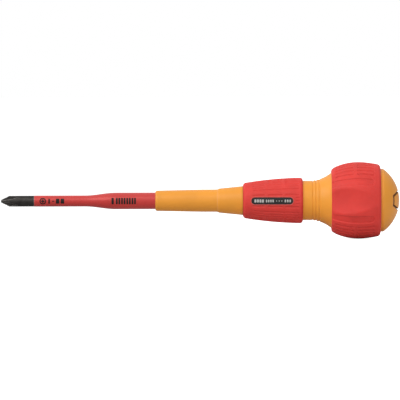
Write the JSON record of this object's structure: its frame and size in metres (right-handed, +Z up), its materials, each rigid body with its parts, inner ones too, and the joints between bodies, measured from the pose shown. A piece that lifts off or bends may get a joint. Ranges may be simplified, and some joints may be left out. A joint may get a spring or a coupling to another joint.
{
  "type": "insulated screwdriver",
  "caption": "Insulated ball-grip screwdriver with a cross-head blade, red two-step sheath, amber handle and soft red grips.",
  "frame": {"origin": "the blade's point, on the tool's axis", "axes": "+X along the tool's axis from the point to the butt; -Y faces the label plate and one thumb scallop; +Z is up"},
  "size_m": [0.1832, 0.0347, 0.0352],
  "materials": {
    "black_steel": "black oxide, fine sandblasted",
    "signal_layer": "plain, hidden under the outer layer",
    "sheath_red": "semi-gloss, extruded",
    "body_amber": "satin, moulded",
    "core_grey": "plain, hidden in the handle",
    "grip_red": "soft elastomer, matte",
    "label_black": "matte black with light marks"
  },
  "bodies": {
    "root": {"blade": "black_steel", "sheath_inner": "signal_layer", "sheath_outer": "sheath_red", "nose_sleeve": "body_amber", "handle_core": "core_grey", "handle_body": "body_amber", "front_grip": "grip_red", "label_plate": "label_black", "ball_grip": "grip_red", "end_cap": "body_amber", "end_badge": "body_amber"}
  },
  "joints": []
}
